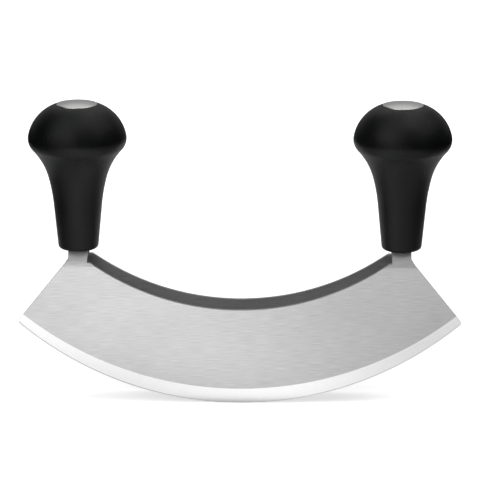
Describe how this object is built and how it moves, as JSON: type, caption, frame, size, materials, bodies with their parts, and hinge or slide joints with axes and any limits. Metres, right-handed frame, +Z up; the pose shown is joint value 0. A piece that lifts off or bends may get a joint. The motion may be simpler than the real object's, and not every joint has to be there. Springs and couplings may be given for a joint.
{
  "type": "mezzaluna",
  "caption": "Mezzaluna with parallel crescent blades, upright black grips with round knobs and domed steel caps, rocked by hand to chop herbs.",
  "frame": {"origin": "on the board, midway between the lowest points of the two cutting edges", "axes": "+X along the blades to the right-hand grip, +Y from the front blade to the rear one, +Z up through the grips"},
  "size_m": [0.2308, 0.0512, 0.159],
  "materials": {
    "blade_steel": "satin, brushed lengthwise, with brighter ground bevels",
    "cap_steel": "satin",
    "fixing_steel": "plain turned and pressed steel",
    "grip_plastic": "matt black moulded plastic with a fine grain",
    "seal_rubber": "matt"
  },
  "bodies": {
    "root": {"front_blade": "blade_steel", "rear_blade": "blade_steel", "left_handle": "grip_plastic", "left_cap": "cap_steel", "left_tang_bar": "fixing_steel", "left_lower_rivet": "fixing_steel", "left_upper_rivet": "fixing_steel", "left_washer": "fixing_steel", "left_lock_washer": "fixing_steel", "left_nut": "fixing_steel", "left_tang_seal": "seal_rubber", "right_handle": "grip_plastic", "right_cap": "cap_steel", "right_tang_bar": "fixing_steel", "right_lower_rivet": "fixing_steel", "right_upper_rivet": "fixing_steel", "right_washer": "fixing_steel", "right_lock_washer": "fixing_steel", "right_nut": "fixing_steel", "right_tang_seal": "seal_rubber"}
  },
  "joints": []
}
